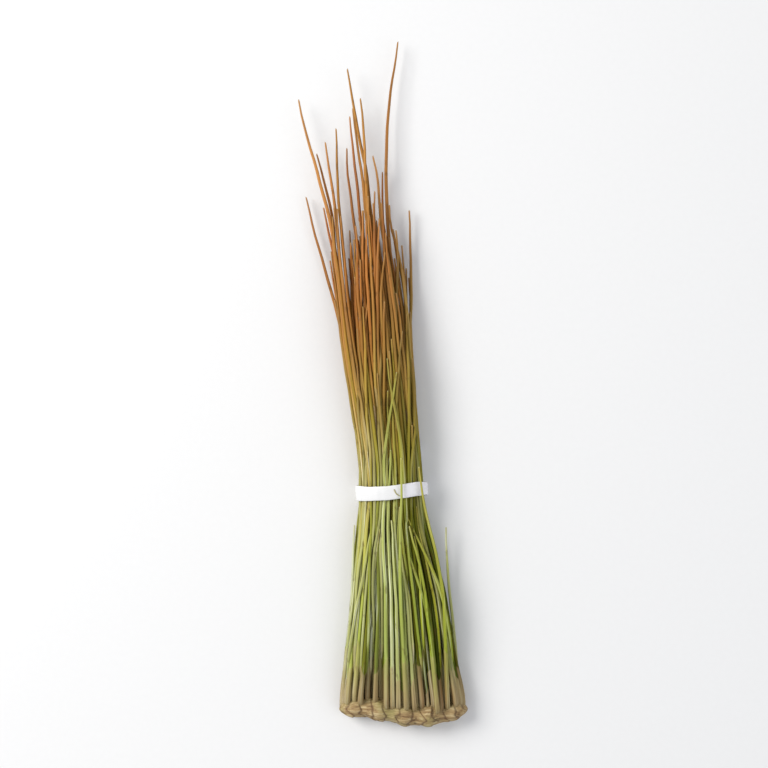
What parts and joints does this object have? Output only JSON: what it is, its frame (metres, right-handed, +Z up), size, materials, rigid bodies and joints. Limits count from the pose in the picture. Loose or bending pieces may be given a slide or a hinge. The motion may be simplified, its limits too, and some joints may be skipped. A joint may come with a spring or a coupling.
{
  "type": "dwarf hairgrass bunch",
  "caption": "Small tied bunch of fine water grass lying on its back: thin tapering blades rise from a knotted foot, close in at a white strip tie and fan out to loose tips.",
  "frame": {"origin": "on the surface that the bunch lies on, under the middle of the tie", "axes": "+Y from the foot to the tips, +Z up from the surface, +X to the right seen from above with the tips away from the viewer"},
  "size_m": [0.0349, 0.1406, 0.01],
  "materials": {
    "ochre_blade": "satin",
    "green_blade": "satin",
    "crown": "matt, fibrous",
    "tie": "smooth, slightly glossy"
  },
  "bodies": {
    "root": {"loose_blade_01": "green_blade", "loose_blade_02": "green_blade", "middle_blade_01": "ochre_blade", "middle_blade_02": "ochre_blade", "middle_blade_03": "ochre_blade", "middle_blade_04": "ochre_blade", "middle_blade_05": "ochre_blade", "middle_blade_06": "ochre_blade", "middle_blade_07": "ochre_blade", "middle_blade_08": "ochre_blade", "middle_blade_09": "ochre_blade", "middle_blade_10": "ochre_blade", "middle_blade_11": "ochre_blade", "middle_blade_12": "ochre_blade", "middle_blade_13": "ochre_blade", "middle_blade_14": "ochre_blade", "middle_blade_15": "ochre_blade", "middle_blade_16": "ochre_blade", "middle_blade_17": "ochre_blade", "middle_blade_18": "ochre_blade", "middle_blade_19": "ochre_blade", "middle_blade_20": "ochre_blade", "middle_blade_21": "ochre_blade", "middle_blade_22": "ochre_blade", "middle_blade_23": "ochre_blade", "middle_blade_24": "ochre_blade", "outer_blade_01": "ochre_blade", "outer_blade_02": "ochre_blade", "outer_blade_03": "ochre_blade", "outer_blade_04": "ochre_blade", "outer_blade_05": "ochre_blade", "outer_blade_06": "ochre_blade", "outer_blade_07": "ochre_blade", "outer_blade_08": "ochre_blade", "root_crown": "crown", "short_blade_01": "green_blade", "short_blade_02": "green_blade", "short_blade_03": "green_blade", "short_blade_04": "green_blade", "short_blade_05": "green_blade", "short_blade_06": "green_blade", "short_blade_07": "green_blade", "short_blade_08": "green_blade", "short_blade_09": "green_blade", "short_blade_10": "green_blade", "tall_blade_01": "ochre_blade", "tall_blade_02": "ochre_blade", "tall_blade_03": "ochre_blade", "tall_blade_04": "ochre_blade", "tall_blade_05": "ochre_blade", "tall_blade_06": "ochre_blade", "tall_blade_07": "ochre_blade", "tall_blade_08": "ochre_blade", "tall_blade_09": "ochre_blade", "tall_blade_10": "ochre_blade", "tall_blade_11": "ochre_blade", "tall_blade_12": "ochre_blade", "tall_blade_13": "ochre_blade", "tall_blade_14": "ochre_blade", "tie": "tie"}
  },
  "joints": []
}
